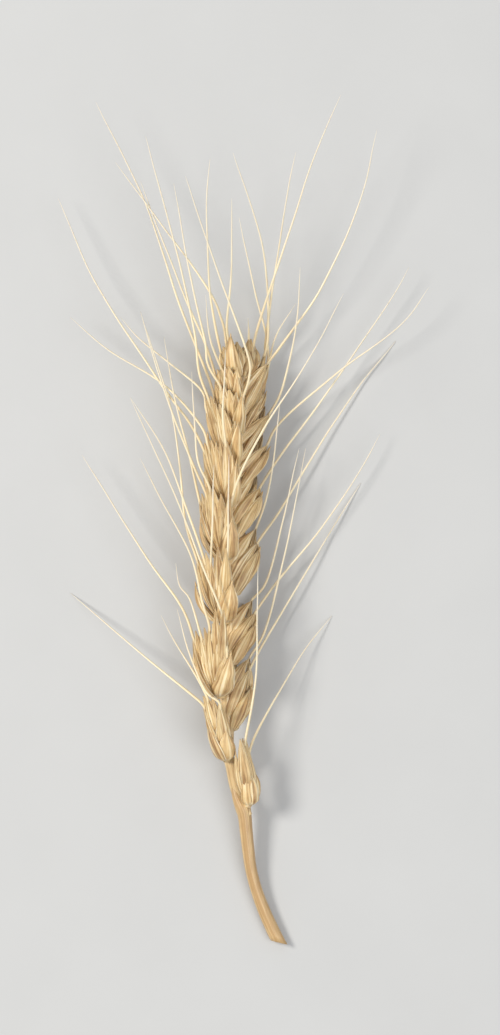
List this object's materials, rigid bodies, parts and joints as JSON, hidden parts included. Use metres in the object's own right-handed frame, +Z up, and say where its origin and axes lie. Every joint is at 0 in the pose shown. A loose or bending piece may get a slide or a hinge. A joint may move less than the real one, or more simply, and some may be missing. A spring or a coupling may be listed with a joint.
{
  "type": "wheat ear",
  "caption": "Dry bearded ear of wheat on a short cut stalk, lying on its side: two rows of plump overlapping spikelets with long fine awns fanning out.",
  "frame": {"origin": "on the surface that the ear lies on, under the centre of its bounding box", "axes": "+Y along the ear towards its tip, +Z up from the surface, +X to the right when the ear is seen from above with its tip away"},
  "size_m": [0.067, 0.1527, 0.0241],
  "materials": {
    "stalk_straw": "satin",
    "chaff_straw": "matte"
  },
  "bodies": {
    "root": {"stem_and_rachis": "stalk_straw", "spikelet_left_1": "chaff_straw", "spikelet_left_2": "chaff_straw", "spikelet_left_3": "chaff_straw", "spikelet_left_4": "chaff_straw", "spikelet_left_5": "chaff_straw", "spikelet_left_6": "chaff_straw", "spikelet_left_7": "chaff_straw", "spikelet_left_8": "chaff_straw", "spikelet_left_9": "chaff_straw", "spikelet_right_1": "chaff_straw", "spikelet_right_2": "chaff_straw", "spikelet_right_3": "chaff_straw", "spikelet_right_4": "chaff_straw", "spikelet_right_5": "chaff_straw", "spikelet_right_6": "chaff_straw", "spikelet_right_7": "chaff_straw", "spikelet_right_8": "chaff_straw", "spikelet_right_9": "chaff_straw", "spikelet_top": "chaff_straw"}
  },
  "joints": []
}
